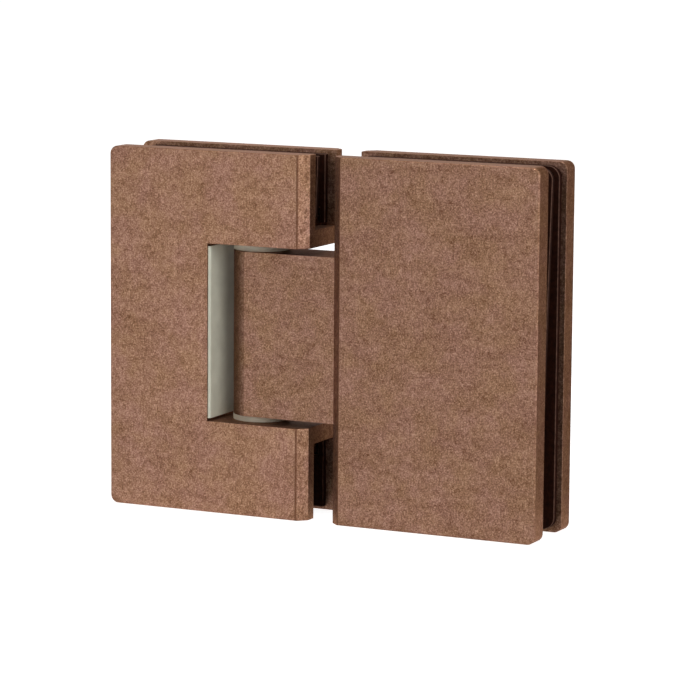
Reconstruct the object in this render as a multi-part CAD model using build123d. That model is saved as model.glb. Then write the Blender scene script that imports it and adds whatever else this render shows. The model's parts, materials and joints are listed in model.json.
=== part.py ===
"""Glass door hinge, glass to glass, 180 degrees, with a turning knuckle between two clamp leaves.

Frame: +Z up along the pin, +X from the fixed leaf to the moving leaf, -Y is the outer (show) side.
The origin is the middle of the base, under the centre of the closed hinge. Millimetres.
"""
from build123d import *
import os
from math import asin, degrees, sqrt

# ---- driving dimensions -------------------------------------------------------------------
plate_height = 90.0
leaf_width = 54.4            # each leaf, seam side to outer side
leaf_gap = 6.6               # between the two leaves when the door is closed
plate_thickness = 5.3
glass_slot = 11.7            # between a front plate and its back plate
plate_corner_radius = 2.0    # outer corners, seen from the front
edge_break = 0.35            # broken edge round the outer faces
seam_chamfer = 2.4           # on the plates' facing vertical edges

notch_side = 27.4            # fixed leaf left beside the notch, outer side to notch
notch_height = 44.2
pin_from_notch = 9.6         # notch's inner wall to the pin axis

bridge_wall = 4.3            # U-shaped wall round the notch, which joins the fixed plates
ear_thickness = 6.7          # its two ears, which hold the pin
ear_tip_thickness = 4.3      # the ears' stepped tips at the seam
ear_tip_length = 4.4
ear_tip_setback = 0.1        # tips behind the plates' seam sides
bridge_corner_radius = 5.0

edge_liner_thickness = 1.6   # strip round the bridge that keeps the glass off the metal
notch_liner_thickness = 0.7
notch_liner_setback = 0.5    # behind the outer faces of the plates
notch_liner_end_gap = 0.7    # to the notch's floor and ceiling

gasket_thickness = 1.6
loose_gasket_thickness = 1.2
gasket_inset = 1.3           # from the plates' outer sides
gasket_end_inset = 0.9       # from the plates' top and bottom
gasket_seam_inset = 2.4      # from the plates' seam sides
gasket_corner_radius = 3.0
gasket_clearance = 0.5       # round the bridge, the root and the screw sleeves
fixed_gasket_lean = 3.7      # degrees, a loose front gasket leans back from its foot
moving_gasket_lean = 3.6     # degrees
gasket_foot_gap = 0.3        # foot of a loose gasket behind its front plate

pin_diameter = 8.0
pin_end_setback = 0.4        # pin ends inside the ears' outer faces
pin_end_chamfer = 0.6
pin_ear_clearance = 0.02     # radial, pin in the ears
cam_flat_depth = 0.7
cam_flat_margin = 1.5        # above and below the plungers
door_stops = (0, 90, -90)    # degrees, where a flat meets the plungers
lock_flat_depth = 0.5
lock_flat_height = 4.0

washer_diameter = 14.2
washer_thickness = 1.5
washer_bore_clearance = 0.1  # radial, on the pin
lower_play = 0.05            # knuckle above the lower washer
upper_play = 0.3             # above the upper washer, which lies on the knuckle

knuckle_half_thickness = 8.45
nose_reach = 6.85            # rounded nose, in front of the pin axis
nose_setback = 0.7           # where the nose leaves the flat faces
web_rear = 4.3               # rear face of the web behind the pin axis
web_corner_radius = 2.0
root_length = 8.0            # web carried on between the moving plates
root_corner_radius = 1.5
knuckle_bore_diameter = 9.2

bush_outer_diameter = 11.0
bush_length = 12.0
bush_running_clearance = 0.03   # radial, on the pin
seat_clearance = 0.02           # radial, pieces pushed or screwed into a bore

plunger_diameter = 6.0
plunger_length = 10.0
plunger_lift_gap = 0.1       # tip to the round of the pin
plunger_tip_chamfer = 1.0
spring_wire = 0.8
spring_coils = 3             # turns
spring_wire_sides = 4        # square wire
spring_turn_sides = 16       # straight lengths in one turn
spring_side_clearance = 0.2
adjuster_length = 6.0
adjuster_setback = 0.5       # below the root's end face
adjuster_socket = 3.0        # hexagon across flats
adjuster_socket_depth = 3.0

screw_diameter = 6.0
screw_head_diameter = 11.6
screw_head_setback = 0.3
screw_hole_clearance = 0.3   # radial, through the back plates
screw_socket = 4.0
screw_socket_depth = 2.4
screw_tip_gap = 1.0          # screw end to the bottom of its thread
screw_spacing = 54.0
moving_screw_inset = 18.0    # from the moving leaf's outer side
boss_diameter = 10.0
boss_end_gap = 1.0           # boss tip to the back plate
sleeve_outer_diameter = 14.0
sleeve_boss_clearance = 0.15

lock_screw_diameter = 3.0
lock_screw_length = 6.0
lock_screw_socket = 1.5
lock_screw_socket_depth = 1.5

# ---- places that follow from them -----------------------------------------------------------
length = 2 * leaf_width + leaf_gap
depth = 2 * plate_thickness + glass_slot
x_outer_fixed = -length / 2
x_seam_fixed = x_outer_fixed + leaf_width
x_seam_moving = x_seam_fixed + leaf_gap
x_outer_moving = length / 2
y_front = -depth / 2
y_slot_front = y_front + plate_thickness
y_slot_back = y_slot_front + glass_slot
y_back = depth / 2
z_mid = plate_height / 2
z_notch_low = z_mid - notch_height / 2
z_notch_high = z_mid + notch_height / 2
x_notch = x_outer_fixed + notch_side
x_pin = x_notch + pin_from_notch
z_knuckle_low = z_notch_low + washer_thickness + lower_play
z_knuckle_high = z_notch_high - washer_thickness - upper_play
x_root_end = x_seam_moving + root_length
pin_radius = pin_diameter / 2
screw_heights = (z_mid - screw_spacing / 2, z_mid + screw_spacing / 2)
x_gasket_cut = x_notch - bridge_wall - edge_liner_thickness - gasket_clearance
x_fixed_screws = (x_outer_fixed + gasket_inset + x_gasket_cut) / 2
x_moving_screws = x_outer_moving - moving_screw_inset
between_bushes = z_knuckle_high - z_knuckle_low - 2 * bush_length
plunger_heights = {
    "lower": z_knuckle_low + bush_length + between_bushes / 4,
    "upper": z_knuckle_high - bush_length - between_bushes / 4,
}
x_ear_step = x_seam_fixed - ear_tip_length
ear_heights = (z_notch_low - ear_thickness / 2, z_notch_high + ear_thickness / 2)
boss_length = glass_slot - boss_end_gap
TOUCH = 0.01                 # tolerance for picking edges by their place


# ---- small helpers --------------------------------------------------------------------------
def box(x0, x1, y0, y1, z0, z1):
    """A block between two corners."""
    middle = Pos((x0 + x1) / 2, (y0 + y1) / 2, (z0 + z1) / 2)
    return middle * Box(x1 - x0, y1 - y0, z1 - z0)


def slab(outline, y_from, y_to):
    """An outline drawn in X and Z, made solid from y_from back to y_to."""
    face_plane = Plane(origin=(0, y_to, 0), x_dir=(1, 0, 0), z_dir=(0, -1, 0))
    return extrude(face_plane * outline, y_to - y_from)


def rectangle(x0, x1, z0, z1):
    """A flat rectangle between two corners, in X and Z."""
    return Pos((x0 + x1) / 2, (z0 + z1) / 2) * Rectangle(x1 - x0, z1 - z0)


def along_y(x, z, y_from, y_to, radius):
    """A round bar or bore along Y."""
    start = Plane(origin=(x, y_from, z), x_dir=(1, 0, 0), z_dir=(0, 1, 0))
    return extrude(start * Circle(radius), y_to - y_from)


def along_x(y, z, x_from, x_to, radius):
    """A round bar or bore along X."""
    start = Plane(origin=(x_from, y, z), x_dir=(0, 1, 0), z_dir=(1, 0, 0))
    return extrude(start * Circle(radius), x_to - x_from)


def along_z(x, y, z_from, z_to, radius):
    """A round bar or bore along Z."""
    return Pos(x, y, z_from) * extrude(Circle(radius), z_to - z_from)


def hexagon(across_flats):
    """A hexagon socket's outline."""
    return RegularPolygon(across_flats / 2, 6, major_radius=False)


def rounded_corners(outline, x_side, radius):
    """Rounds the outline's corners that stand on one upright line."""
    corners = [v for v in outline.vertices() if abs(v.X - x_side) < TOUCH]
    return fillet(corners, radius)


# ---- plates -----------------------------------------------------------------------------------
def leaf_outline(x_outer, x_seam):
    """Outline of one leaf: square at the seam, rounded at the outer corners."""
    outline = rectangle(min(x_outer, x_seam), max(x_outer, x_seam), 0, plate_height)
    return rounded_corners(outline, x_outer, plate_corner_radius)


def notched_outline():
    """The fixed leaf's C-shaped outline."""
    notch = rectangle(x_notch, x_seam_fixed + leaf_gap, z_notch_low, z_notch_high)
    return leaf_outline(x_outer_fixed, x_seam_fixed) - notch


def dressed(plate, y_face, x_seam):
    """Chamfers the seam edges of the outer face and breaks its other outer edges."""
    seam_edges = [e for e in plate.edges().filter_by(Axis.Z)
                  if abs(e.center().X - x_seam) < TOUCH and abs(e.center().Y - y_face) < TOUCH]
    plate = chamfer(seam_edges, seam_chamfer)
    worn = []
    for edge in plate.edges():
        middle = edge.center()
        on_face = abs(middle.Y - y_face) < TOUCH
        at_end = middle.Z < plate_corner_radius or middle.Z > plate_height - plate_corner_radius
        at_side = abs(middle.X) > length / 2 - plate_corner_radius
        if on_face and (at_end or at_side):
            worn.append(edge)
    return chamfer(worn, edge_break)


def screw_bosses(x_screws):
    """Tapped bosses on a front plate's inner face."""
    bosses = Part()
    for z in screw_heights:
        bosses += along_y(x_screws, z, y_slot_front - edge_break, y_slot_front + boss_length,
                          boss_diameter / 2)
    return bosses


def boss_threads(x_screws):
    """Core of the bosses' threads, from the boss tips into the plate."""
    threads = Part()
    for z in screw_heights:
        threads += along_y(x_screws, z, y_slot_front, y_slot_front + boss_length,
                           screw_diameter / 2 + seat_clearance)
    return threads


def countersinks(x_screws):
    """Clearance holes and countersinks through a back plate."""
    cuts = Part()
    hole = screw_diameter / 2 + screw_hole_clearance
    rim = screw_head_diameter / 2 + screw_hole_clearance
    cone = rim - hole
    for z in screw_heights:
        cuts += along_y(x_screws, z, y_slot_back - cone, y_back, hole)
        cuts += along_y(x_screws, z, y_back - screw_head_setback, y_back + cone, rim)
        seat = Plane(origin=(x_screws, y_back - screw_head_setback, z), x_dir=(1, 0, 0), z_dir=(0, -1, 0))
        cuts += seat * (Pos(0, 0, cone / 2) * Cone(rim, hole, cone))
    return cuts


def fixed_front_plate():
    plate = dressed(slab(notched_outline(), y_front, y_slot_front), y_front, x_seam_fixed)
    return plate + screw_bosses(x_fixed_screws) - boss_threads(x_fixed_screws)


def bridge_block(grow, x_end=x_ear_step):
    """The bridge's wall and thick ears as one filled outline, grown outwards by grow."""
    x_left = x_notch - bridge_wall - grow
    reach = ear_thickness + grow
    block = rectangle(x_left, x_end, z_notch_low - reach, z_notch_high + reach)
    return rounded_corners(block, x_left, bridge_corner_radius + grow)


def ear_tips(grow, x_end):
    """The thinner tips of the ears as one filled outline, run on to x_end."""
    reach = ear_tip_thickness + grow
    return rectangle(x_notch, x_end, z_notch_low - reach, z_notch_high + reach)


def fixed_back_plate():
    plate = dressed(slab(notched_outline(), y_slot_back, y_back), y_back, x_seam_fixed)
    notch = rectangle(x_notch, x_seam_fixed, z_notch_low, z_notch_high)
    bridge = bridge_block(0) + ear_tips(0, x_seam_fixed - ear_tip_setback) - notch
    body = plate + slab(bridge, y_slot_front, y_slot_back)
    body -= countersinks(x_fixed_screws)
    body -= pin_hole(ear_heights[0]) + pin_hole(ear_heights[1])
    for z in ear_heights:
        body -= along_y(x_pin, z, 0, y_back, lock_screw_diameter / 2 + seat_clearance)
    return body


def pin_hole(z):
    """The pin's hole through one ear."""
    half = ear_thickness / 2
    return along_z(x_pin, 0, z - half, z + half, pin_radius + pin_ear_clearance)


def knuckle_outline():
    """Plan of the knuckle, its web and its root, about the pin axis."""
    h = knuckle_half_thickness
    x_step = x_pin + sqrt(h**2 - web_rear**2)
    x_nose = x_pin - nose_setback
    shoulder = (x_pin + h * sqrt(0.5), h * sqrt(0.5))
    lines = [
        Line((x_root_end, -h), (x_nose, -h)),
        ThreePointArc((x_nose, -h), (x_pin - nose_reach, 0), (x_nose, h)),
        Line((x_nose, h), (x_pin, h)),
        ThreePointArc((x_pin, h), shoulder, (x_step, web_rear)),
        Line((x_step, web_rear), (x_root_end, web_rear)),
        Line((x_root_end, web_rear), (x_root_end, -h)),
    ]
    outline = make_face(lines)
    inner = [v for v in outline.vertices() if abs(v.X - x_step) < TOUCH]
    outline = fillet(inner, web_corner_radius)
    end = [v for v in outline.vertices() if abs(v.X - x_root_end) < TOUCH and v.Y > 0]
    return fillet(end, root_corner_radius)


def moving_front_plate():
    """Front plate of the moving leaf with its knuckle, one casting."""
    outline = leaf_outline(x_outer_moving, x_seam_moving)
    plate = dressed(slab(outline, y_front, y_slot_front), y_front, x_seam_moving)
    knuckle = Pos(0, 0, z_knuckle_low) * extrude(knuckle_outline(), z_knuckle_high - z_knuckle_low)
    body = plate + knuckle + screw_bosses(x_moving_screws)
    body -= boss_threads(x_moving_screws)
    body -= along_z(x_pin, 0, z_knuckle_low, z_knuckle_high, knuckle_bore_diameter / 2)
    seat = bush_outer_diameter / 2 + seat_clearance
    body -= along_z(x_pin, 0, z_knuckle_low, z_knuckle_low + bush_length, seat)
    body -= along_z(x_pin, 0, z_knuckle_high - bush_length, z_knuckle_high, seat)
    for z in plunger_heights.values():
        body -= along_x(0, z, x_pin, x_root_end, plunger_diameter / 2 + seat_clearance)
    return body


def moving_back_plate():
    outline = leaf_outline(x_outer_moving, x_seam_moving)
    plate = dressed(slab(outline, y_slot_back, y_back), y_back, x_seam_moving)
    return plate - countersinks(x_moving_screws)


# ---- liners and gaskets -------------------------------------------------------------------------
def edge_liner():
    """Strip on the bridge's three outer sides, between the metal and the glass."""
    strip = bridge_block(edge_liner_thickness) - bridge_block(0)
    return slab(strip, y_slot_front, y_slot_back)


def notch_liner():
    """Thin strip on the notch's inner wall, rounded at its two upright edges."""
    x_face = x_notch + notch_liner_thickness
    y0 = y_front + notch_liner_setback
    strip = box(x_notch, x_face, y0, -y0, z_notch_low + notch_liner_end_gap, z_notch_high - notch_liner_end_gap)
    edges = [e for e in strip.edges().filter_by(Axis.Z) if abs(e.center().X - x_face) < TOUCH]
    return fillet(edges, notch_liner_thickness * 0.8)


def gasket_outline(x_outer, x_seam, x_screws, cut_out):
    """A leaf's gasket: inside the plate's outline, clear of the cut-out and the screw sleeves."""
    side = 1 if x_outer > x_seam else -1
    x_a = x_outer - side * gasket_inset
    x_b = x_seam + side * gasket_seam_inset
    outline = rectangle(min(x_a, x_b), max(x_a, x_b), gasket_end_inset, plate_height - gasket_end_inset)
    outline = rounded_corners(outline, x_a, gasket_corner_radius)
    outline -= cut_out
    for z in screw_heights:
        outline -= Pos(x_screws, z) * Circle(sleeve_outer_diameter / 2 + gasket_clearance)
    return outline


def fixed_cut_out(tip_gap):
    """Space of the bridge and its liner, run out past the seam at tip_gap from the ears' tips."""
    block = bridge_block(edge_liner_thickness + gasket_clearance, x_ear_step + gasket_clearance)
    return block + ear_tips(tip_gap, x_seam_moving)


def moving_cut_out():
    """Space of the knuckle's root, run out past the seam."""
    grow = gasket_clearance
    cut = rectangle(x_seam_fixed, x_root_end + grow, z_knuckle_low - grow, z_knuckle_high + grow)
    return rounded_corners(cut, x_root_end + grow, root_corner_radius)


def back_gasket(outline):
    return slab(outline, y_slot_back - gasket_thickness, y_slot_back)


def loose_gasket(outline, lean):
    """A front gasket that stands on its foot and leans back."""
    sheet = slab(outline, 0, loose_gasket_thickness)
    return Pos(0, y_slot_front + gasket_foot_gap, 0) * Rot(-lean, 0, 0) * sheet


# ---- pin, washers and bushes -----------------------------------------------------------------------
def pivot_pin():
    z0 = z_notch_low - ear_thickness + pin_end_setback
    z1 = z_notch_high + ear_thickness - pin_end_setback
    pin = along_z(x_pin, 0, z0, z1, pin_radius)
    pin = chamfer(pin.edges().filter_by(GeomType.CIRCLE), pin_end_chamfer)
    reach = plunger_diameter / 2 + cam_flat_margin
    low, high = plunger_heights["lower"] - reach, plunger_heights["upper"] + reach
    flat = box(pin_radius - cam_flat_depth, pin_diameter, -pin_radius, pin_radius, low, high)
    for angle in door_stops:
        pin -= Pos(x_pin, 0, 0) * Rot(0, 0, angle) * flat
    y_flat = pin_radius - lock_flat_depth
    half = lock_flat_height / 2
    for z in ear_heights:
        pin -= box(x_pin - pin_radius, x_pin + pin_radius, y_flat, y_flat + pin_diameter, z - half, z + half)
    return pin


def washer(z_low):
    ring = Circle(washer_diameter / 2) - Circle(pin_radius + washer_bore_clearance)
    return Pos(x_pin, 0, z_low) * extrude(ring, washer_thickness)


def bush(z_low):
    ring = Circle(bush_outer_diameter / 2) - Circle(pin_radius + bush_running_clearance)
    return Pos(x_pin, 0, z_low) * extrude(ring, bush_length)


# ---- detent --------------------------------------------------------------------------------------
x_plunger_tip = x_pin + pin_radius + plunger_lift_gap
x_plunger_tail = x_plunger_tip + plunger_length
x_adjuster_end = x_root_end - adjuster_setback
x_adjuster_tip = x_adjuster_end - adjuster_length


def detent_plunger(z):
    plunger = along_x(0, z, x_plunger_tip, x_plunger_tail, plunger_diameter / 2)
    rim = [e for e in plunger.edges().filter_by(GeomType.CIRCLE) if abs(e.center().X - x_plunger_tip) < TOUCH]
    return chamfer(rim, plunger_tip_chamfer)


def detent_spring(z):
    """Coil spring, squeezed between the plunger and its adjusting screw."""
    free = x_adjuster_tip - x_plunger_tail
    coil_radius = plunger_diameter / 2 - spring_side_clearance - spring_wire / 2
    run = free - spring_wire
    start = Plane(origin=(x_plunger_tail + spring_wire / 2, 0, z), x_dir=(0, 1, 0), z_dir=(1, 0, 0))
    helix = Helix(pitch=run / spring_coils, height=run, radius=coil_radius)
    steps = spring_coils * spring_turn_sides
    path = Polyline(*[helix @ (step / steps) for step in range(steps + 1)])
    section = Plane(origin=path @ 0, z_dir=path % 0) * RegularPolygon(spring_wire / 2, spring_wire_sides)
    return start * sweep(section, path=path, transition=Transition.RIGHT)


def detent_adjuster(z):
    screw = along_x(0, z, x_adjuster_tip, x_adjuster_end, plunger_diameter / 2)
    mouth = Plane(origin=(x_adjuster_end, 0, z), x_dir=(0, 1, 0), z_dir=(-1, 0, 0))
    return screw - extrude(mouth * hexagon(adjuster_socket), adjuster_socket_depth)


# ---- fasteners -----------------------------------------------------------------------------------
def clamp_screws(x_screws):
    """Countersunk socket screws from the back plate into the front plate's bosses."""
    y_head = y_back - screw_head_setback
    cone = (screw_head_diameter - screw_diameter) / 2
    y_tip = y_slot_front + screw_tip_gap
    screws = Part()
    for z in screw_heights:
        back = Plane(origin=(x_screws, y_head, z), x_dir=(1, 0, 0), z_dir=(0, -1, 0))
        head = back * (Pos(0, 0, cone / 2) * Cone(screw_head_diameter / 2, screw_diameter / 2, cone))
        socket = extrude(back * hexagon(screw_socket), screw_socket_depth)
        screws += head + along_y(x_screws, z, y_tip, y_head - cone, screw_diameter / 2) - socket
    return screws


def screw_sleeves(x_screws):
    """Plastic sleeves round the bosses, in the holes of the glass."""
    sleeves = Part()
    bore = boss_diameter / 2 + sleeve_boss_clearance
    for z in screw_heights:
        tube = along_y(x_screws, z, y_slot_front, y_slot_back, sleeve_outer_diameter / 2)
        sleeves += tube - along_y(x_screws, z, y_slot_front, y_slot_back, bore)
    return sleeves


def pin_lock_screws():
    """Set screws through the ears that press on the pin's flats."""
    y_tip = pin_radius - lock_flat_depth
    y_end = y_tip + lock_screw_length
    screws = Part()
    for z in ear_heights:
        back = Plane(origin=(x_pin, y_end, z), x_dir=(1, 0, 0), z_dir=(0, -1, 0))
        socket = extrude(back * hexagon(lock_screw_socket), lock_screw_socket_depth)
        screws += along_y(x_pin, z, y_tip, y_end, lock_screw_diameter / 2) - socket
    return screws


# ---- the assembly ----------------------------------------------------------------------------------
def assembly():
    """Every separate piece by its name."""
    fixed = (x_outer_fixed, x_seam_fixed, x_fixed_screws)
    moving = (x_outer_moving, x_seam_moving, x_moving_screws)
    parts = {
        "fixed_front_plate": fixed_front_plate(),
        "fixed_back_plate": fixed_back_plate(),
        "fixed_front_gasket": loose_gasket(
            gasket_outline(*fixed, fixed_cut_out(ear_thickness - ear_tip_thickness)),
            fixed_gasket_lean),
        "fixed_back_gasket": back_gasket(gasket_outline(*fixed, fixed_cut_out(gasket_clearance))),
        "fixed_screw_sleeves": screw_sleeves(x_fixed_screws),
        "fixed_clamp_screws": clamp_screws(x_fixed_screws),
        "edge_liner": edge_liner(),
        "notch_liner": notch_liner(),
        "pivot_pin": pivot_pin(),
        "lower_washer": washer(z_notch_low),
        "upper_washer": washer(z_knuckle_high),
        "pin_lock_screws": pin_lock_screws(),
        "moving_front_plate": moving_front_plate(),
        "moving_back_plate": moving_back_plate(),
        "moving_front_gasket": loose_gasket(
            gasket_outline(*moving, moving_cut_out()), moving_gasket_lean),
        "moving_back_gasket": back_gasket(gasket_outline(*moving, moving_cut_out())),
        "moving_screw_sleeves": screw_sleeves(x_moving_screws),
        "moving_clamp_screws": clamp_screws(x_moving_screws),
        "lower_bush": bush(z_knuckle_low),
        "upper_bush": bush(z_knuckle_high - bush_length),
    }
    for name, z in plunger_heights.items():
        parts[f"{name}_detent_plunger"] = detent_plunger(z)
        parts[f"{name}_detent_spring"] = detent_spring(z)
        parts[f"{name}_detent_adjuster"] = detent_adjuster(z)
    return parts


os.makedirs("parts", exist_ok=True)
for node, solid in assembly().items():
    export_step(solid, f"parts/{node}.step")
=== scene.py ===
"""Glass door hinge: finishes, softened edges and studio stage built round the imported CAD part."""
import json
import math

import bpy
from mathutils import Matrix, Vector

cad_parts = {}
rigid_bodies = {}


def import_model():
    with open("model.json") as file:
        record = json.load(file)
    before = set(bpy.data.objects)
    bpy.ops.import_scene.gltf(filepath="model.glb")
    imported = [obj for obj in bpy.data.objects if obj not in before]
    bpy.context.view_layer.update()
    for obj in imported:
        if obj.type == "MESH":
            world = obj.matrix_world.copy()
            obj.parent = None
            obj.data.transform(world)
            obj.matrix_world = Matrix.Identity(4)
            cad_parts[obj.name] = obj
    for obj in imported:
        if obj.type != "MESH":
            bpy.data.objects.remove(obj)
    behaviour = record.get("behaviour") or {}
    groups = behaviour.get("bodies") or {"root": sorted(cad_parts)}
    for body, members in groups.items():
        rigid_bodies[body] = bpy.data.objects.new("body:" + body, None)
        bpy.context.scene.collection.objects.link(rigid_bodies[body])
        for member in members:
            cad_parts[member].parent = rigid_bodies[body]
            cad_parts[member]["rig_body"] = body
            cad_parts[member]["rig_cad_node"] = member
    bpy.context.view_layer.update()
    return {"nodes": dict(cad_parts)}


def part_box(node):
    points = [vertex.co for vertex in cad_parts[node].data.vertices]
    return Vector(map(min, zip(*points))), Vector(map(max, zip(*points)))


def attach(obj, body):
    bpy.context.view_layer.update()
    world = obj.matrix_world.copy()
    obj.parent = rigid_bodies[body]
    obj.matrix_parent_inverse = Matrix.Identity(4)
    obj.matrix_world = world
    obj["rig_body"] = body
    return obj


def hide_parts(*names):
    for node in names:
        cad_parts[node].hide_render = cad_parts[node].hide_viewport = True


bl_info = {
    "name": "Glass Door Hinge",
    "version": (1, 0, 0),
    "blender": (4, 5, 0),
    "location": "View3D > Sidebar > Hinge",
    "description": "Dresses a glass-to-glass door hinge in its metal, gaskets and studio",
    "category": "Object",
}

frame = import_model()
MM = 0.001
GASKETS = {
    "fixed_front_gasket": "fixed_leaf",
    "fixed_back_gasket": "fixed_leaf",
    "moving_front_gasket": "moving_leaf",
    "moving_back_gasket": "moving_leaf",
}
LEAF_PLATES = {
    "fixed_front_plate": "fixed_leaf",
    "fixed_back_plate": "fixed_leaf",
    "moving_front_plate": "moving_leaf",
    "moving_back_plate": "moving_leaf",
}
SEAM_CHAMFER = 2.4 * MM
CREASE_X = SEAM_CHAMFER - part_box("fixed_front_plate")[1].x    # creases' distance from the middle
FRONT_FACES = -9 * MM    # the front plates' outer faces and seam chamfers lie in front of this
SHARP_ANGLE = math.radians(35)    # edges sharper than this are broken
SMOOTH_ANGLE = math.radians(16)
FLAT_ANGLE = math.radians(0.4)    # triangles that lie flatter than this are joined into one face
MERGE_GAP = 0.0001 * MM

# real sizes of the patterns
RUBBER_SKIN = 1.11 * MM
OPEN_PITS = 0.9 * MM
FLOW_MOTTLE = 3.85 * MM
TOOL_MARKS = 0.714 * MM    # real ones, about 0.1 mm, are too fine to show

AIM = Vector((0.000367, -0.00064, 0.044604))    # what the camera looks at
LAMP_AIM = (0, 0, 0.045)
FLOOR_DROP = 0.2 * MM     # floor below the hinge's foot
FLOOR_LIFT = 0.92         # brings the lit floor to white where it is seen


# ---- shader helpers -------------------------------------------------------------------------
def linear(code):
    """An sRGB hex colour as linear RGBA."""
    values = [int(code[i:i + 2], 16) / 255 for i in (1, 3, 5)]
    return tuple(v / 12.92 if v <= 0.04045 else ((v + 0.055) / 1.055) ** 2.4 for v in values) + (1.0,)


def add_node(tree, kind, links=(), values=(), stops=(), **settings):
    """Adds a node with its settings, its sockets' values, a ramp's colour stops and the links into it."""
    node = tree.nodes.new(kind)
    for name, value in settings.items():
        setattr(node, name, value)
    for index, (position, colour) in enumerate(stops):
        node.color_ramp.elements[index].position = position
        node.color_ramp.elements[index].color = colour
    for socket, value in values:
        node.inputs[socket].default_value = value
    for socket, source in links:
        tree.links.new(source, node.inputs[socket])
    return node


def new_material(name):
    """A material with only a Principled shader: returns material, tree, shader and Object coordinates."""
    material = bpy.data.materials.new(name)
    material.use_nodes = True
    tree = material.node_tree
    shader = tree.nodes["Principled BSDF"]
    place = add_node(tree, "ShaderNodeTexCoord").outputs["Object"]
    return material, tree, shader, place


WHITE = linear("#ffffff")


# ---- settings -------------------------------------------------------------------------------
def colour_property(name, description, code):
    """A colour setting, with its default as sRGB hex."""
    return bpy.props.FloatVectorProperty(
        name=name, description=description, subtype="COLOR", size=4, min=0, max=1, default=linear(code))


class HingeFinish(bpy.types.PropertyGroup):
    """Colours and grain of the hinge's materials."""
    copper_red: colour_property("Copper, reddish", "Reddish patches of the antique copper finish", "#9a7869")
    copper_olive: colour_property("Copper, olive", "Olive-brown patches of the finish", "#987861")
    # painted shade: the moving leaf's copper is the same finish darkened, standing in for the lesser light
    # that falls on it
    moving_leaf_painted_shade: bpy.props.FloatProperty(
        name="Moving leaf's tone", subtype="FACTOR",
        description="Brightness of the moving leaf's copper beside the fixed leaf's",
        default=0.84, min=0.3, max=1.0)
    copper_light: colour_property("Copper, rubbed", "Specks rubbed back to lighter copper", "#c09a84")
    liner: colour_property("Liner", "Colour of the pale notch liner", "#cfd0bf")
    washer: colour_property("Washer", "Colour of the washers", "#e4e0cd")
    # real grain, about 0.1 mm, is too fine to show, so it is drawn coarser
    grain_size: bpy.props.FloatProperty(
        name="Grain size", description="Size of the copper's finest specks", default=0.0004,
        min=0.0001, max=0.005, unit="LENGTH")
    blotch_size: bpy.props.FloatProperty(
        name="Blotch size", description="Size of the copper's soft tonal patches", default=0.007,
        min=0.001, max=0.05, unit="LENGTH")


class HingeEdges(bpy.types.PropertyGroup):
    """How far the plates' and gaskets' sharp edges are broken."""
    plate_break: bpy.props.FloatProperty(
        name="Plate edges", description="Width of the broken edge on the plates", default=0.00015,
        min=0, max=0.001, unit="LENGTH")
    # the gaskets' broken edges are painted paler, as a painted highlight
    gasket_break: bpy.props.FloatProperty(
        name="Gasket edges", description="Width of the scuffed edge on the gaskets", default=0.00018,
        min=0, max=0.0005, unit="LENGTH")


class HingeStage(bpy.types.PropertyGroup):
    """Camera and light of the studio."""
    camera_distance: bpy.props.FloatProperty(
        name="Camera distance", description="From the camera to the aim point", default=0.8528,
        min=0.2, max=5, unit="LENGTH")
    camera_azimuth: bpy.props.FloatProperty(
        name="Azimuth", description="Camera's turn to the right of the front", default=math.radians(25.861),
        subtype="ANGLE")
    camera_elevation: bpy.props.FloatProperty(
        name="Elevation", description="Camera's height above the horizon", default=math.radians(8.349),
        subtype="ANGLE")
    camera_roll: bpy.props.FloatProperty(
        name="Roll", description="Camera's tilt about its own axis", default=math.radians(0.419),
        subtype="ANGLE")
    lens: bpy.props.FloatProperty(
        name="Lens", description="Focal length on a 36 mm sensor", default=185.45, min=20, max=500,
        subtype="DISTANCE_CAMERA")
    key_power: bpy.props.FloatProperty(
        name="Key light", description="Power of the front light", default=1.6, min=0, max=200,
        unit="POWER")
    side_power: bpy.props.FloatProperty(
        name="Side light", description="Power of the light on the right", default=4.1, min=0, max=200,
        unit="POWER")
    top_power: bpy.props.FloatProperty(
        name="Top light", description="Power of the light overhead", default=4.5, min=0, max=200,
        unit="POWER")
    ambient: bpy.props.FloatProperty(
        name="Ambient", description="Strength of the even light from all round", default=0.03, min=0, max=2)
    card_gap: bpy.props.FloatProperty(
        name="Toned card", description="From the hinge's middle to the toned card behind it", default=0.2,
        min=0.1, max=1, unit="LENGTH")


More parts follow.
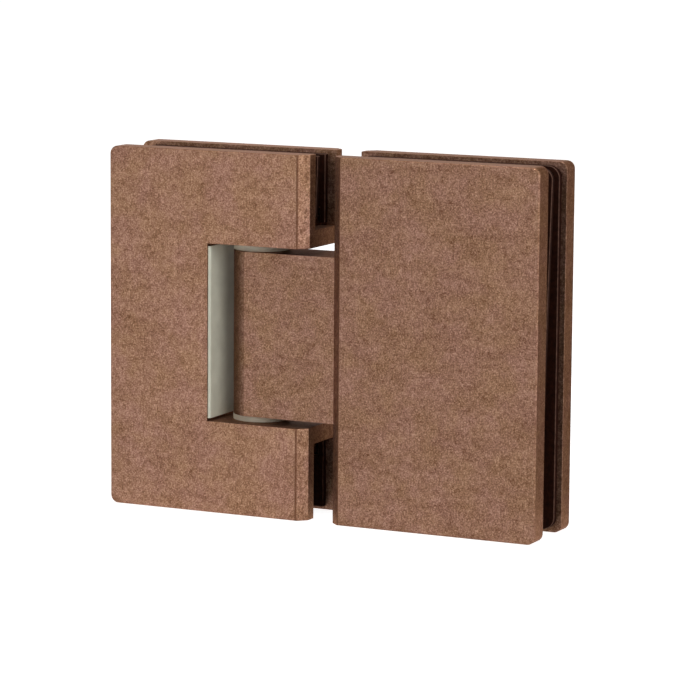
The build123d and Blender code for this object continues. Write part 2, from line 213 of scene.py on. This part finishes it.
# ---- materials ------------------------------------------------------------------------------
def antique_copper(finish, name, depth):
    """Brass plated with copper, toned in a brown bath and relieved by hand: satin, softly clouded
    from reddish to olive brown, with a fine grain and specks rubbed lighter."""
    material, tree, shader, place = new_material(name)
    tone = add_node(tree, "ShaderNodeTexNoise", links=[("Vector", place)],
                    values=[("Scale", 1 / finish.blotch_size), ("Detail", 3.0), ("Roughness", 0.55)])
    cloud = add_node(tree, "ShaderNodeTexNoise", links=[("Vector", place)],
                     values=[("Scale", 0.32 / finish.grain_size), ("Detail", 4.0), ("Roughness", 0.6),
                             ("Distortion", 0.8)])
    wide = add_node(tree, "ShaderNodeMapping", links=[("Vector", place)],
                    values=[("Scale", (0.45, 1.0, 1.0))])
    smear = add_node(tree, "ShaderNodeTexNoise", links=[("Vector", wide.outputs["Vector"])],
                     values=[("Scale", 1.4 / finish.blotch_size), ("Detail", 4.0), ("Roughness", 0.6),
                             ("Distortion", 1.0)])
    speck = add_node(tree, "ShaderNodeTexNoise", links=[("Vector", place)],
                     values=[("Scale", 1 / finish.grain_size), ("Detail", 4.0), ("Roughness", 0.7)])
    hue = add_node(tree, "ShaderNodeValToRGB", links=[("Fac", tone.outputs["Fac"])],
                   stops=[(0.36, finish.copper_olive), (0.64, finish.copper_red)])
    colour = hue.outputs["Color"]
    for pattern, low, dark, high in ((smear, 0.36, "#ebe7e2", 0.58), (cloud, 0.32, "#cec3bb", 0.60),
                                     (speck, 0.30, "#ad9a8f", 0.60)):
        shade = add_node(tree, "ShaderNodeValToRGB", links=[("Fac", pattern.outputs["Fac"])],
                         stops=[(low, linear(dark)), (high, WHITE)])
        colour = add_node(tree, "ShaderNodeMix", links=[(6, colour), (7, shade.outputs["Color"])],
                          values=[(0, 1.0)], data_type="RGBA", blend_type="MULTIPLY").outputs[2]
    rubbed = add_node(tree, "ShaderNodeMapRange", links=[("Value", speck.outputs["Fac"])],
                      values=[("From Min", 0.54), ("From Max", 0.70), ("To Max", 0.5)])
    crease_shade, pits = seam_shade_and_pits(tree, place, cloud.outputs["Fac"])
    # the dark crease line is painted shade of a small step along the seam crease, with some toning
    for amount, layer in ((rubbed.outputs["Result"], finish.copper_light), (crease_shade, linear("#54382a")),
                          (pits, linear("#5a3f30"))):
        colour = add_node(tree, "ShaderNodeMix", links=[(0, amount), (6, colour)], values=[(7, layer)],
                          data_type="RGBA").outputs[2]
    # depth below 1 darkens this copy of the copper, as painted shade
    bath = add_node(tree, "ShaderNodeMix", links=[(6, colour)], data_type="RGBA", blend_type="MULTIPLY",
                    values=[(0, 1.0), (7, (depth, depth * 0.99, depth * 0.98, 1.0))])
    tree.links.new(bath.outputs[2], shader.inputs["Base Color"])
    gloss = add_node(tree, "ShaderNodeMapRange", links=[("Value", cloud.outputs["Fac"])],
                     values=[("To Min", 0.40), ("To Max", 0.52)])
    tree.links.new(gloss.outputs["Result"], shader.inputs["Roughness"])
    shader.inputs["Metallic"].default_value = 1.0
    shader.inputs["Specular Tint"].default_value = linear("#ebd0c2")
    grain = add_node(tree, "ShaderNodeBump", links=[("Height", speck.outputs["Fac"])],
                     values=[("Strength", 0.25), ("Distance", 0.02 * MM)])
    tree.links.new(grain.outputs["Normal"], shader.inputs["Normal"])
    return material


def seam_shade_and_pits(tree, place, grain):
    """Where the creases beside the seam chamfers are darkened, as painted shade of the small step along each
    crease with some toning, and the chamfers' open pits.
    """
    spot = add_node(tree, "ShaderNodeSeparateXYZ", links=[("Vector", place)]).outputs
    front = add_node(tree, "ShaderNodeMath", operation="LESS_THAN", links=[(0, spot["Y"])],
                     values=[(1, FRONT_FACES)])
    aside = add_node(tree, "ShaderNodeMath", operation="ABSOLUTE", links=[(0, spot["X"])])
    away = add_node(tree, "ShaderNodeMath", operation="SUBTRACT", links=[(0, aside.outputs[0])],
                    values=[(1, CREASE_X)])
    near = add_node(tree, "ShaderNodeMath", operation="ABSOLUTE", links=[(0, away.outputs[0])])
    # painted shade with some toning: a dark line along each crease, made patchy by the grain
    line = add_node(tree, "ShaderNodeMapRange", links=[("Value", near.outputs[0])],
                    values=[("From Min", 0.16 * MM), ("From Max", 0.30 * MM), ("To Min", 1.0),
                            ("To Max", 0.0)])
    patchy = add_node(tree, "ShaderNodeMapRange", links=[("Value", grain)],
                      values=[("From Min", 0.3), ("From Max", 0.6), ("To Min", 0.55), ("To Max", 1.0)])
    chamfer = add_node(tree, "ShaderNodeMath", operation="LESS_THAN", links=[(0, away.outputs[0])],
                       values=[(1, -0.3 * MM)])
    spots = add_node(tree, "ShaderNodeTexNoise", links=[("Vector", place)],
                     values=[("Scale", 1 / OPEN_PITS), ("Detail", 1.0)])
    holes = add_node(tree, "ShaderNodeMapRange", links=[("Value", spots.outputs["Fac"])],
                     values=[("From Min", 0.63), ("From Max", 0.68), ("To Max", 0.8)])
    kept = []
    for shape, where in ((line, patchy), (holes, chamfer)):
        both = add_node(tree, "ShaderNodeMath", operation="MULTIPLY",
                        links=[(0, shape.outputs[0]), (1, where.outputs[0])])
        kept.append(add_node(tree, "ShaderNodeMath", operation="MULTIPLY",
                             links=[(0, both.outputs[0]), (1, front.outputs[0])]).outputs[0])
    return kept


def soft_rubber(name, dark, light):
    """Extruded PVC sheet: dull, with a faintly uneven skin from the dark to the light tone; nearly black for
    the gaskets, and pale for the painted highlight on their broken edges.
    """
    material, tree, shader, place = new_material(name)
    skin = add_node(tree, "ShaderNodeTexNoise", links=[("Vector", place)],
                    values=[("Scale", 1 / RUBBER_SKIN), ("Detail", 4.0)])
    tint = add_node(tree, "ShaderNodeValToRGB", links=[("Fac", skin.outputs["Fac"])],
                    stops=[(0.3, linear(dark)), (0.7, linear(light))])
    tree.links.new(tint.outputs["Color"], shader.inputs["Base Color"])
    shader.inputs["Roughness"].default_value = 0.75
    shader.inputs["Specular IOR Level"].default_value = 0.06
    relief = add_node(tree, "ShaderNodeBump", links=[("Height", skin.outputs["Fac"])],
                      values=[("Strength", 0.2), ("Distance", 0.03 * MM)])
    tree.links.new(relief.outputs["Normal"], shader.inputs["Normal"])
    return material


def moulded_plastic(name, colour, roughness):
    """Moulded acetal: smooth, pale, with a faint flow mottle."""
    material, tree, shader, place = new_material(name)
    mottle = add_node(tree, "ShaderNodeTexNoise", links=[("Vector", place)],
                      values=[("Scale", 1 / FLOW_MOTTLE), ("Detail", 3.0)])
    tint = add_node(tree, "ShaderNodeValToRGB", links=[("Fac", mottle.outputs["Fac"])],
                    stops=[(0.3, linear("#f0f0f0")), (0.7, WHITE)])
    both = add_node(tree, "ShaderNodeMix", links=[(7, tint.outputs["Color"])], data_type="RGBA",
                    blend_type="MULTIPLY", values=[(0, 1.0), (6, colour)])
    tree.links.new(both.outputs[2], shader.inputs["Base Color"])
    shader.inputs["Roughness"].default_value = roughness
    shader.inputs["Specular IOR Level"].default_value = 0.3
    relief = add_node(tree, "ShaderNodeBump", links=[("Height", mottle.outputs["Fac"])],
                      values=[("Strength", 0.1), ("Distance", 0.02 * MM)])
    tree.links.new(relief.outputs["Normal"], shader.inputs["Normal"])
    return material


def bright_steel(name, code, roughness):
    """Stainless steel, ground, turned or drawn bright: grey, with fine uneven tool marks."""
    material, tree, shader, place = new_material(name)
    marks = add_node(tree, "ShaderNodeTexNoise", links=[("Vector", place)],
                     values=[("Scale", 1 / TOOL_MARKS), ("Detail", 2.0)])
    tint = add_node(tree, "ShaderNodeValToRGB", links=[("Fac", marks.outputs["Fac"])],
                    stops=[(0.35, linear("#d8d8d8")), (0.65, WHITE)])
    both = add_node(tree, "ShaderNodeMix", links=[(7, tint.outputs["Color"])], data_type="RGBA",
                    blend_type="MULTIPLY", values=[(0, 1.0), (6, linear(code))])
    tree.links.new(both.outputs[2], shader.inputs["Base Color"])
    shader.inputs["Metallic"].default_value = 1.0
    shader.inputs["Roughness"].default_value = roughness
    relief = add_node(tree, "ShaderNodeBump", links=[("Height", marks.outputs["Fac"])],
                      values=[("Strength", 0.15), ("Distance", 0.01 * MM)])
    tree.links.new(relief.outputs["Normal"], shader.inputs["Normal"])
    return material


# ---- mesh helpers ---------------------------------------------------------------------------
def deselect_all():
    """Leaves edit mode and deselects everything."""
    if bpy.context.object and bpy.context.object.mode != "OBJECT":
        bpy.ops.object.mode_set(mode="OBJECT")
    bpy.ops.object.select_all(action="DESELECT")


def copy_of_node(node, name):
    """A separate, merged copy of a CAD node's mesh, ready to be worked on."""
    deselect_all()
    source = frame["nodes"][node]
    source.select_set(True)
    bpy.context.view_layer.objects.active = source
    bpy.ops.object.duplicate()
    copy = bpy.context.object
    copy.name = name
    for key in ("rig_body", "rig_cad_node"):    # marks of the CAD node itself
        del copy[key]
    bpy.ops.object.parent_clear(type="CLEAR_KEEP_TRANSFORM")
    bpy.ops.mesh.customdata_custom_splitnormals_clear()
    bpy.ops.object.mode_set(mode="EDIT")
    bpy.ops.mesh.select_all(action="SELECT")
    bpy.ops.mesh.remove_doubles(threshold=MERGE_GAP)
    bpy.ops.mesh.dissolve_limited(angle_limit=FLAT_ANGLE)
    bpy.ops.object.mode_set(mode="OBJECT")
    return copy


def break_edges(piece, width):
    """Breaks the piece's sharp edges by a narrow round."""
    bevel = piece.modifiers.new("broken_edges", "BEVEL")
    bevel.width = width
    bevel.segments = 3
    bevel.limit_method = "ANGLE"
    bevel.angle_limit = SHARP_ANGLE
    bevel.use_clamp_overlap = True
    bpy.ops.object.modifier_apply(modifier=bevel.name)
    bpy.ops.object.shade_smooth_by_angle(angle=SMOOTH_ANGLE)
    even = piece.modifiers.new("face_normals", "WEIGHTED_NORMAL")
    even.keep_sharp = True
    bpy.ops.object.modifier_apply(modifier=even.name)


def wear(piece, material):
    """Gives a piece one material."""
    piece.data.materials.clear()
    piece.data.materials.append(material)


# ---- operators ------------------------------------------------------------------------------
class HINGE_OT_plates(bpy.types.Operator):
    """Dress the four clamp plates in antique copper and break their edges"""
    bl_idname = "hinge.plates"
    bl_label = "Clamp Plates"

    def execute(self, context):
        finish = context.scene.hinge_finish
        # the moving leaf wears a darker copy of the copper, which is painted shade
        metals = {"fixed_leaf": antique_copper(finish, "antique_copper_plated_brass", 1.0),
                  "moving_leaf": antique_copper(finish, "antique_copper_painted_shade", finish.moving_leaf_painted_shade)}
        for node, body in LEAF_PLATES.items():
            piece = copy_of_node(node, f"{node}_dressed")
            break_edges(piece, context.scene.hinge_edges.plate_break)
            wear(piece, metals[body])
            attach(piece, body)
            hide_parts(node)
        return {"FINISHED"}


class HINGE_OT_gaskets(bpy.types.Operator):
    """Give the dark gaskets broken edges with a painted highlight and finish the strip round the bridge"""
    bl_idname = "hinge.gaskets"
    bl_label = "Gaskets"

    def execute(self, context):
        rubber = soft_rubber("pvc_gasket_sheet", "#180703", "#2c130a")
        # painted highlight: a paler rubber on the bevel's faces stands in for light caught on the gaskets'
        # edges
        highlighted = soft_rubber("pvc_painted_edge_highlight", "#4a342b", "#6a4f43")
        for node, body in GASKETS.items():
            piece = copy_of_node(node, f"{node}_dressed")
            wear(piece, rubber)
            piece.data.materials.append(highlighted)
            cut = piece.modifiers.new("cut_edges", "BEVEL")
            cut.width = context.scene.hinge_edges.gasket_break
            cut.limit_method = "ANGLE"
            cut.angle_limit = SHARP_ANGLE
            cut.material = 1
            bpy.ops.object.modifier_apply(modifier=cut.name)
            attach(piece, body)
            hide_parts(node)
        wear(frame["nodes"]["edge_liner"], rubber)
        return {"FINISHED"}


class HINGE_OT_plastics(bpy.types.Operator):
    """Finish the notch liner, washers, bushes and screw sleeves"""
    bl_idname = "hinge.plastics"
    bl_label = "Liner, Washers and Sleeves"

    def execute(self, context):
        finish = context.scene.hinge_finish
        wear(frame["nodes"]["notch_liner"], moulded_plastic("pale_liner_strip", finish.liner, 0.5))
        acetal = moulded_plastic("acetal_washer", finish.washer, 0.4)
        for node in ("lower_washer", "upper_washer"):
            wear(frame["nodes"][node], acetal)
        white = moulded_plastic("white_acetal", linear("#dcd8cd"), 0.4)
        for node in ("lower_bush", "upper_bush", "fixed_screw_sleeves", "moving_screw_sleeves"):
            wear(frame["nodes"][node], white)
        return {"FINISHED"}


class HINGE_OT_steelwork(bpy.types.Operator):
    """Finish the pin, the detents and all screws"""
    bl_idname = "hinge.steelwork"
    bl_label = "Pin, Detents and Screws"

    def execute(self, context):
        pin = bright_steel("ground_pin_steel", "#a8a49e", 0.3)
        for node in ("pivot_pin", "lower_detent_plunger", "upper_detent_plunger"):
            wear(frame["nodes"][node], pin)
        screws = bright_steel("stainless_screw", "#9a9690", 0.35)
        for node in ("fixed_clamp_screws", "moving_clamp_screws", "pin_lock_screws",
                     "lower_detent_adjuster", "upper_detent_adjuster"):
            wear(frame["nodes"][node], screws)
        spring = bright_steel("drawn_spring_wire", "#74716c", 0.4)
        for node in ("lower_detent_spring", "upper_detent_spring"):
            wear(frame["nodes"][node], spring)
        return {"FINISHED"}


def aim_camera(stage):
    """Places the camera round the hinge's middle at the given angles."""
    a, e, roll = stage.camera_azimuth, stage.camera_elevation, stage.camera_roll
    back = Vector((math.sin(a) * math.cos(e), -math.cos(a) * math.cos(e), math.sin(e)))
    right = (-back).cross(Vector((0, 0, 1))).normalized()
    up = right.cross(-back)
    across = math.cos(roll) * right + math.sin(roll) * up
    upward = -math.sin(roll) * right + math.cos(roll) * up
    turn = Matrix((across, upward, back)).transposed().to_4x4()
    data = bpy.data.cameras.new("studio_camera")
    camera = bpy.data.objects.new("studio_camera", data)
    bpy.context.scene.collection.objects.link(camera)
    data.lens = stage.lens
    data.sensor_width = 36
    data.clip_start, data.clip_end = 0.01, 20
    camera.matrix_world = Matrix.Translation(AIM + back * stage.camera_distance) @ turn
    bpy.context.scene.camera = camera


def add_light(name, place, size, power):
    """A soft white light, size wide and high, that points at the hinge."""
    deselect_all()
    bpy.ops.object.light_add(type="AREA", location=place)
    light = bpy.context.object
    light.name = name
    light.data.shape = "RECTANGLE"
    light.data.size, light.data.size_y = size
    light.data.energy = power
    light.rotation_euler = (Vector(place) - Vector(LAMP_AIM)).to_track_quat("Z", "Y").to_euler()


class HINGE_OT_stage(bpy.types.Operator):
    """Set out the pale floor, soft lights, white surroundings and camera"""
    bl_idname = "hinge.stage"
    bl_label = "Stage"

    def execute(self, context):
        stage = context.scene.hinge_stage
        deselect_all()
        bpy.ops.mesh.primitive_plane_add(size=6.0, location=(0, 0, -FLOOR_DROP))
        floor = context.object
        floor.name = "studio_floor"
        wear(floor, self.floor_material())
        add_light("key_light", (-0.27, -1.0, 0.38), (0.7, 0.7), stage.key_power)
        add_light("side_light", (0.86, -0.50, 0.38), (0.7, 0.6), stage.side_power)
        add_light("top_light", (0.05, -0.3, 0.9), (0.4, 0.4), stage.top_power)
        gap = stage.card_gap
        board = self.card_material()
        standing, across = math.radians(90), math.radians(-26)
        for name, place, turn in (
                ("card_right", (gap + 0.05, gap + 0.02, 0.28), (standing, 0, across)),
                ("card_floor", (0.1, 0.33, 0), (0, 0, 0))):
            bpy.ops.mesh.primitive_plane_add(size=0.6, location=place, rotation=turn)
            card = context.object
            card.name = name
            wear(card, board)
            card.visible_camera = card.visible_diffuse = card.visible_shadow = False
            card.visible_transmission = False
        self.surround(context.scene, stage.ambient)
        aim_camera(stage)
        context.scene.view_settings.view_transform = "Standard"
        return {"FINISHED"}

    def floor_material(self):
        """Matt white board, lifted to white where it is seen, so that only the hinge's shadow shows."""
        material, tree, shader, _ = new_material("white_board")
        shader.inputs["Base Color"].default_value = linear("#f4f4f4")
        shader.inputs["Roughness"].default_value = 0.9
        lift = add_node(tree, "ShaderNodeMath", operation="MULTIPLY", links=[(0, self.seen_rays(tree))],
                        values=[(1, FLOOR_LIFT)])
        glow = add_node(tree, "ShaderNodeEmission", links=[("Strength", lift.outputs[0])])
        both = add_node(tree, "ShaderNodeAddShader", links=[(0, shader.outputs[0]), (1, glow.outputs[0])])
        tree.links.new(both.outputs[0], tree.nodes["Material Output"].inputs["Surface"])
        return material

    def card_material(self):
        """Evenly lit toned board, seen only in the metal, which gives the hinge's sides their depth."""
        material, tree, _, _ = new_material("brown_card")
        glow = add_node(tree, "ShaderNodeEmission", values=[("Color", linear("#cbc2b8"))])
        tree.links.new(glow.outputs[0], tree.nodes["Material Output"].inputs["Surface"])
        return material

    def seen_rays(self, tree):
        """1 for rays that show the surroundings themselves: camera, glossy and transmission rays."""
        path = add_node(tree, "ShaderNodeLightPath")
        first = add_node(tree, "ShaderNodeMath", operation="MAXIMUM",
                         links=[(0, path.outputs["Is Camera Ray"]), (1, path.outputs["Is Glossy Ray"])])
        both = add_node(tree, "ShaderNodeMath", operation="MAXIMUM",
                        links=[(0, first.outputs[0]), (1, path.outputs["Is Transmission Ray"])])
        return both.outputs[0]

    def surround(self, scene, ambient):
        """White surroundings where they are seen, and a low even light elsewhere."""
        world = bpy.data.worlds.new("white_studio")
        scene.world = world
        world.use_nodes = True
        tree = world.node_tree
        background = tree.nodes["Background"]
        strength = add_node(tree, "ShaderNodeMapRange", links=[("Value", self.seen_rays(tree))],
                            values=[("To Min", ambient), ("To Max", 1.0)])
        background.inputs["Color"].default_value = WHITE
        tree.links.new(strength.outputs["Result"], background.inputs["Strength"])


class HINGE_PT_sidebar(bpy.types.Panel):
    """Lists the hinge's steps"""
    bl_idname = "HINGE_PT_sidebar"
    bl_label = "Glass Door Hinge"
    bl_space_type = "VIEW_3D"
    bl_region_type = "UI"
    bl_category = "Hinge"

    def draw(self, context):
        for step in STEPS:
            self.layout.operator(step.bl_idname)
        for group in (context.scene.hinge_finish, context.scene.hinge_edges, context.scene.hinge_stage):
            for name in group.__annotations__:
                self.layout.prop(group, name)


STEPS = (HINGE_OT_plates, HINGE_OT_gaskets, HINGE_OT_plastics, HINGE_OT_steelwork, HINGE_OT_stage)
GROUPS = {"hinge_finish": HingeFinish, "hinge_edges": HingeEdges, "hinge_stage": HingeStage}


def register():
    for cls in (*GROUPS.values(), *STEPS, HINGE_PT_sidebar):
        bpy.utils.register_class(cls)
    for name, group in GROUPS.items():
        setattr(bpy.types.Scene, name, bpy.props.PointerProperty(type=group))


def unregister():
    for name in GROUPS:
        delattr(bpy.types.Scene, name)
    for cls in reversed((*GROUPS.values(), *STEPS, HINGE_PT_sidebar)):
        bpy.utils.unregister_class(cls)


def main():
    """Builds everything in order."""
    register()
    bpy.ops.hinge.plates()
    bpy.ops.hinge.gaskets()
    bpy.ops.hinge.plastics()
    bpy.ops.hinge.steelwork()
    bpy.ops.hinge.stage()


if __name__ == "__main__":
    main()
